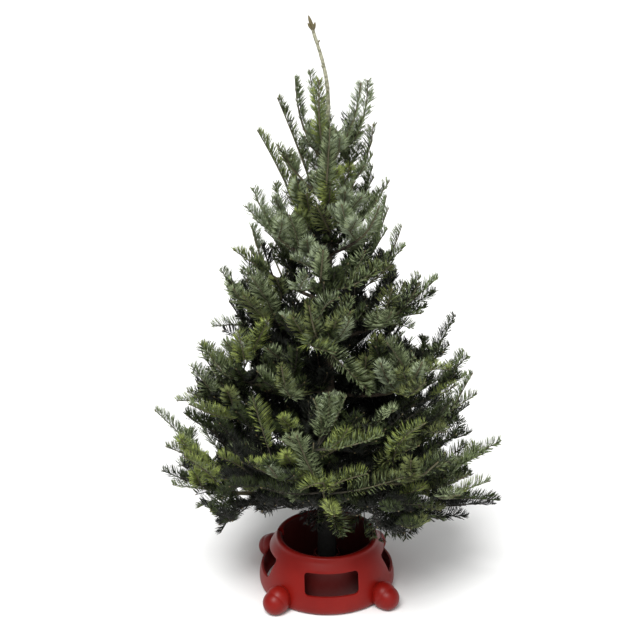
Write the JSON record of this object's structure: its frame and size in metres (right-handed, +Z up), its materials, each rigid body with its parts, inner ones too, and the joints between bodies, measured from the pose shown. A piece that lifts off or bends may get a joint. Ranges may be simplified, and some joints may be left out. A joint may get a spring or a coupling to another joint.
{
  "type": "christmas tree",
  "caption": "Cut fir tree with upswept tiers of needled boughs and a bare leaning leader, held in a round moulded plastic stand with windows and ball feet.",
  "frame": {"origin": "centre of the stand's flat underside", "axes": "+Z up along the trunk, -Y towards the stand's front window, +X to the right seen from the front; the bare leader leans towards -X"},
  "size_m": [0.7078, 0.6336, 1.22],
  "materials": {
    "stand": "moulded dark red plastic with a soft sheen",
    "bark": "grey-brown fir bark, smooth on the young wood",
    "needles": "dull green fir needles, paler on their undersides"
  },
  "bodies": {
    "root": {"stand": "stand", "tier1_bough_a": "bark", "tier1_bough_b": "bark", "tier1_bough_c": "bark", "tier1_bough_d": "bark", "tier1_bough_e": "bark", "tier1_foliage_a": "needles", "tier1_foliage_b": "needles", "tier1_foliage_c": "needles", "tier1_foliage_d": "needles", "tier1_foliage_e": "needles", "tier2_bough_a": "bark", "tier2_bough_b": "bark", "tier2_bough_c": "bark", "tier2_bough_d": "bark", "tier2_bough_e": "bark", "tier2_bough_f": "bark", "tier2_foliage_a": "needles", "tier2_foliage_b": "needles", "tier2_foliage_c": "needles", "tier2_foliage_d": "needles", "tier2_foliage_e": "needles", "tier2_foliage_f": "needles", "tier3_bough_a": "bark", "tier3_bough_b": "bark", "tier3_bough_c": "bark", "tier3_bough_d": "bark", "tier3_foliage_a": "needles", "tier3_foliage_b": "needles", "tier3_foliage_c": "needles", "tier3_foliage_d": "needles", "tier4_foliage_a": "needles", "tier4_foliage_b": "needles", "tier4_foliage_c": "needles", "tier4_foliage_d": "needles", "tier4_foliage_e": "needles", "tier4_foliage_f": "needles", "tier5_foliage_a": "needles", "tier5_foliage_b": "needles", "tier5_foliage_c": "needles", "tier5_foliage_d": "needles", "tier5_foliage_e": "needles", "tier6_foliage_a": "needles", "tier6_foliage_b": "needles", "tier6_foliage_c": "needles", "tier6_foliage_d": "needles", "tier7_foliage_a": "needles", "tier7_foliage_b": "needles", "tier7_foliage_c": "needles", "tier7_foliage_d": "needles", "tier8_foliage_a": "needles", "tier8_foliage_b": "needles", "tier8_foliage_c": "needles", "tier8_foliage_d": "needles", "top_foliage_a": "needles", "top_foliage_b": "needles", "top_foliage_c": "needles", "top_foliage_d": "needles", "top_foliage_e": "needles", "trunk": "bark"}
  },
  "joints": []
}
